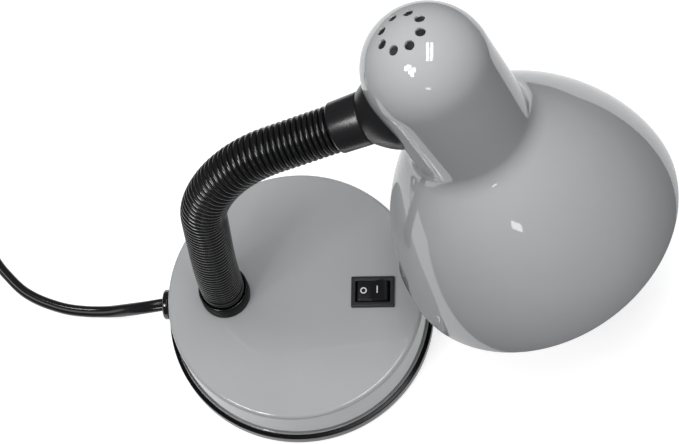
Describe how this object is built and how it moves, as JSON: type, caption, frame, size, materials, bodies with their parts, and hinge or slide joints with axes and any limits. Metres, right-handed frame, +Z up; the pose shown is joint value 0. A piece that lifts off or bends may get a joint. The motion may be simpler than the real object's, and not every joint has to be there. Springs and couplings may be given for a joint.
{
  "type": "gooseneck desk lamp",
  "caption": "Desk lamp with a round weighted base, rocker switch, ribbed flexible neck, bell-shaped metal shade with a screw lampholder, and a flat mains cord.",
  "frame": {"origin": "centre of the underside of the round anti-slip pad, on the table", "axes": "+Z up, +X from the neck's foot towards the rocker switch, +Y towards the back of the lamp"},
  "size_m": [0.4381, 0.187, 0.2292],
  "materials": {
    "grey_enamel": "satin metallic grey enamel",
    "black_gloss": "moulded black, glossy",
    "black_satin": "moulded black, satin",
    "sleeve_black": "ribbed black sleeve, satin",
    "spring_steel": "wound steel",
    "zinc_steel": "zinc plated",
    "iron": "raw cast",
    "pad": "fine foam, matt",
    "brass": "turned and pressed",
    "porcelain": "glazed",
    "bakelite": "moulded, heat resistant",
    "terminal_white": "moulded",
    "cord_black": "flexible, satin",
    "lead_blue": "insulated lead",
    "lead_brown": "insulated lead",
    "pin_nickel": "nickel plated"
  },
  "bodies": {
    "base": {"base_shell": "grey_enamel", "base_plate": "black_gloss", "base_pad": "pad", "ballast_disc": "iron", "plate_screws": "zinc_steel", "lower_collar": "black_gloss", "foot_nipple": "brass", "foot_washer": "zinc_steel", "foot_nut": "zinc_steel", "switch_body": "black_gloss", "switch_blades": "brass", "cord_gland": "black_gloss", "gland_nut": "black_satin", "terminal_block": "terminal_white", "terminal_screws": "brass", "supply_leads": "lead_brown", "switch_lead": "lead_brown", "neck_leads": "lead_blue", "mains_cord": "cord_black", "cord_coil": "cord_black", "coil_tie": "black_satin", "plug_body": "black_satin", "plug_pins": "pin_nickel"},
    "rocker": {"switch_rocker": "black_satin"},
    "neck_low_1": {"sleeve_low_1": "sleeve_black", "core_low_1": "spring_steel"},
    "neck_low_2": {"sleeve_low_2": "sleeve_black", "core_low_2": "spring_steel"},
    "neck_low_3": {"sleeve_low_3": "sleeve_black", "core_low_3": "spring_steel"},
    "neck_low_4": {"sleeve_low_4": "sleeve_black", "core_low_4": "spring_steel"},
    "neck_lower": {"sleeve_lower": "sleeve_black", "core_lower": "spring_steel"},
    "neck_bend_1": {"sleeve_bend_1": "sleeve_black", "core_bend_1": "spring_steel"},
    "neck_bend_2": {"sleeve_bend_2": "sleeve_black", "core_bend_2": "spring_steel"},
    "neck_bend_3": {"sleeve_bend_3": "sleeve_black", "core_bend_3": "spring_steel"},
    "neck_bend_4": {"sleeve_bend_4": "sleeve_black", "core_bend_4": "spring_steel"},
    "neck_bend_5": {"sleeve_bend_5": "sleeve_black", "core_bend_5": "spring_steel"},
    "neck_upper": {"sleeve_upper": "sleeve_black", "core_upper": "spring_steel"},
    "neck_top_1": {"sleeve_top_1": "sleeve_black", "core_top_1": "spring_steel"},
    "head": {"upper_collar": "black_gloss", "shade_saddle": "black_gloss", "head_nipple": "brass", "head_nut": "zinc_steel", "shade": "grey_enamel", "holder_bracket": "zinc_steel", "holder_cap": "bakelite", "holder_skirt": "bakelite", "holder_insert": "porcelain", "holder_thread": "brass", "holder_contact": "brass", "holder_screw": "zinc_steel"}
  },
  "joints": [
    {"name": "lean_1", "type": "hinge", "parent": "base", "child": "neck_low_1", "pos_m": [-0.034, 0, 0.0448], "axis": [-0.2588, 0.9659, 0], "range_deg": [-10, 2]},
    {"name": "sway_1", "type": "hinge", "parent": "neck_low_1", "child": "neck_low_2", "pos_m": [-0.03389, 0.0003, 0.05511], "axis": [0.9659, 0.2588, 0], "range_deg": [-8, 12]},
    {"name": "lean_2", "type": "hinge", "parent": "neck_low_2", "child": "neck_low_3", "pos_m": [-0.03366, 0.00089, 0.06542], "axis": [-0.2588, 0.9659, 0], "range_deg": [-10, 2]},
    {"name": "sway_2", "type": "hinge", "parent": "neck_low_3", "child": "neck_low_4", "pos_m": [-0.03333, 0.00178, 0.07569], "axis": [0.9659, 0.2588, 0], "range_deg": [-8, 12]},
    {"name": "lean_3", "type": "hinge", "parent": "neck_low_4", "child": "neck_lower", "pos_m": [-0.03288, 0.00296, 0.08593], "axis": [-0.2588, 0.9659, 0], "range_deg": [-10, 2]},
    {"name": "bend_1", "type": "hinge", "parent": "neck_lower", "child": "neck_bend_1", "pos_m": [-0.03079, 0.0085, 0.12418], "axis": [-0.1168, 0.9838, -0.1361], "range_deg": [-12, 0.5]},
    {"name": "bend_2", "type": "hinge", "parent": "neck_bend_1", "child": "neck_bend_2", "pos_m": [-0.02775, 0.0102, 0.13389], "axis": [-0.3492, 0.9354, -0.0549], "range_deg": [-12, 0.5]},
    {"name": "bend_3", "type": "hinge", "parent": "neck_bend_2", "child": "neck_bend_3", "pos_m": [-0.02302, 0.01249, 0.14277], "axis": [-0.2627, 0.9589, -0.1071], "range_deg": [-12, 0.5]},
    {"name": "bend_4", "type": "hinge", "parent": "neck_bend_3", "child": "neck_bend_4", "pos_m": [-0.01668, 0.01509, 0.15049], "axis": [-0.1952, 0.9668, -0.1652], "range_deg": [-12, 0.5]},
    {"name": "bend_5", "type": "hinge", "parent": "neck_bend_4", "child": "neck_bend_5", "pos_m": [-0.00893, 0.01773, 0.15678], "axis": [-0.1492, 0.9639, -0.2207], "range_deg": [-12, 0.5]},
    {"name": "bend_6", "type": "hinge", "parent": "neck_bend_5", "child": "neck_upper", "pos_m": [-0.00003, 0.02016, 0.16139], "axis": [-0.1235, 0.956, -0.266], "range_deg": [-12, 0.5]},
    {"name": "nod", "type": "hinge", "parent": "neck_upper", "child": "neck_top_1", "pos_m": [0.02429, 0.02525, 0.16836], "axis": [-0.1977, 0.9803, 0], "range_deg": [-10, 6]},
    {"name": "turn", "type": "hinge", "parent": "neck_top_1", "child": "head", "pos_m": [0.03395, 0.02719, 0.17142], "axis": [-0.3172, -0.0616, 0.9464], "range_deg": [-12, 12]},
    {"name": "rocker_tilt", "type": "hinge", "parent": "base", "child": "rocker", "pos_m": [0.038, 0, 0.0328], "axis": [0, 1, 0], "range_deg": [0, 24]}
  ],
  "couplings": [
    {"joint": "lean_2", "follows": "lean_1", "ratio": 1},
    {"joint": "lean_3", "follows": "lean_1", "ratio": 1},
    {"joint": "sway_2", "follows": "sway_1", "ratio": 1},
    {"joint": "bend_2", "follows": "bend_1", "ratio": 1},
    {"joint": "bend_3", "follows": "bend_1", "ratio": 1},
    {"joint": "bend_4", "follows": "bend_1", "ratio": 1},
    {"joint": "bend_5", "follows": "bend_1", "ratio": 1},
    {"joint": "bend_6", "follows": "bend_1", "ratio": 1}
  ]
}
